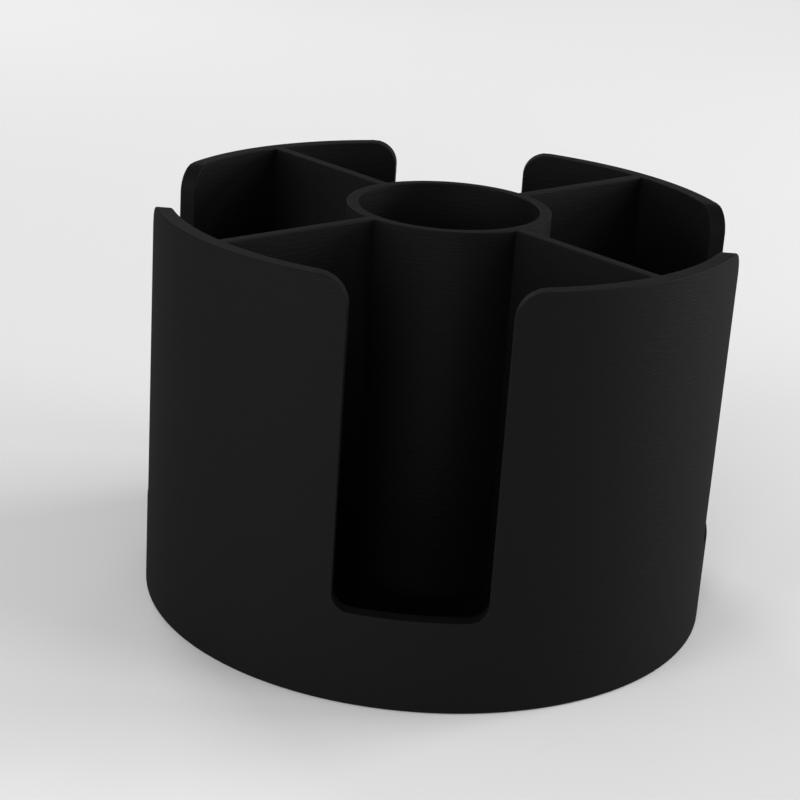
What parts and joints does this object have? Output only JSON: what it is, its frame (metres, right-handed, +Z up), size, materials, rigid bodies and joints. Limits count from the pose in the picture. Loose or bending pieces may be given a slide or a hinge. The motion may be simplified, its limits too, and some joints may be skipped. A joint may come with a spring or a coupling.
{
  "type": "remote control holder",
  "caption": "Round desk caddy: open-slotted drum with quarter compartments for remote controls round a central pen tube, on non-slip pads.",
  "frame": {"origin": "centre of the surface that the holder stands on, under the axis of the drum", "axes": "+Z up along the drum's axis, front slot towards -Y, right slot towards +X"},
  "size_m": [0.15, 0.15, 0.105],
  "materials": {
    "drum_plastic": "matte black printed plastic with fine layer lines",
    "base_plastic": "matte black printed plastic",
    "tube_plastic": "matte black printed plastic with fine layer lines",
    "divider_plastic": "matte black printed plastic with fine layer lines",
    "pad_rubber": "plain black non-slip rubber"
  },
  "bodies": {
    "root": {"outer_wall": "drum_plastic", "base_plate": "base_plastic", "centre_tube": "tube_plastic", "divider_front_left": "divider_plastic", "divider_front_right": "divider_plastic", "divider_back_left": "divider_plastic", "divider_back_right": "divider_plastic", "foot_pads": "pad_rubber"}
  },
  "joints": []
}
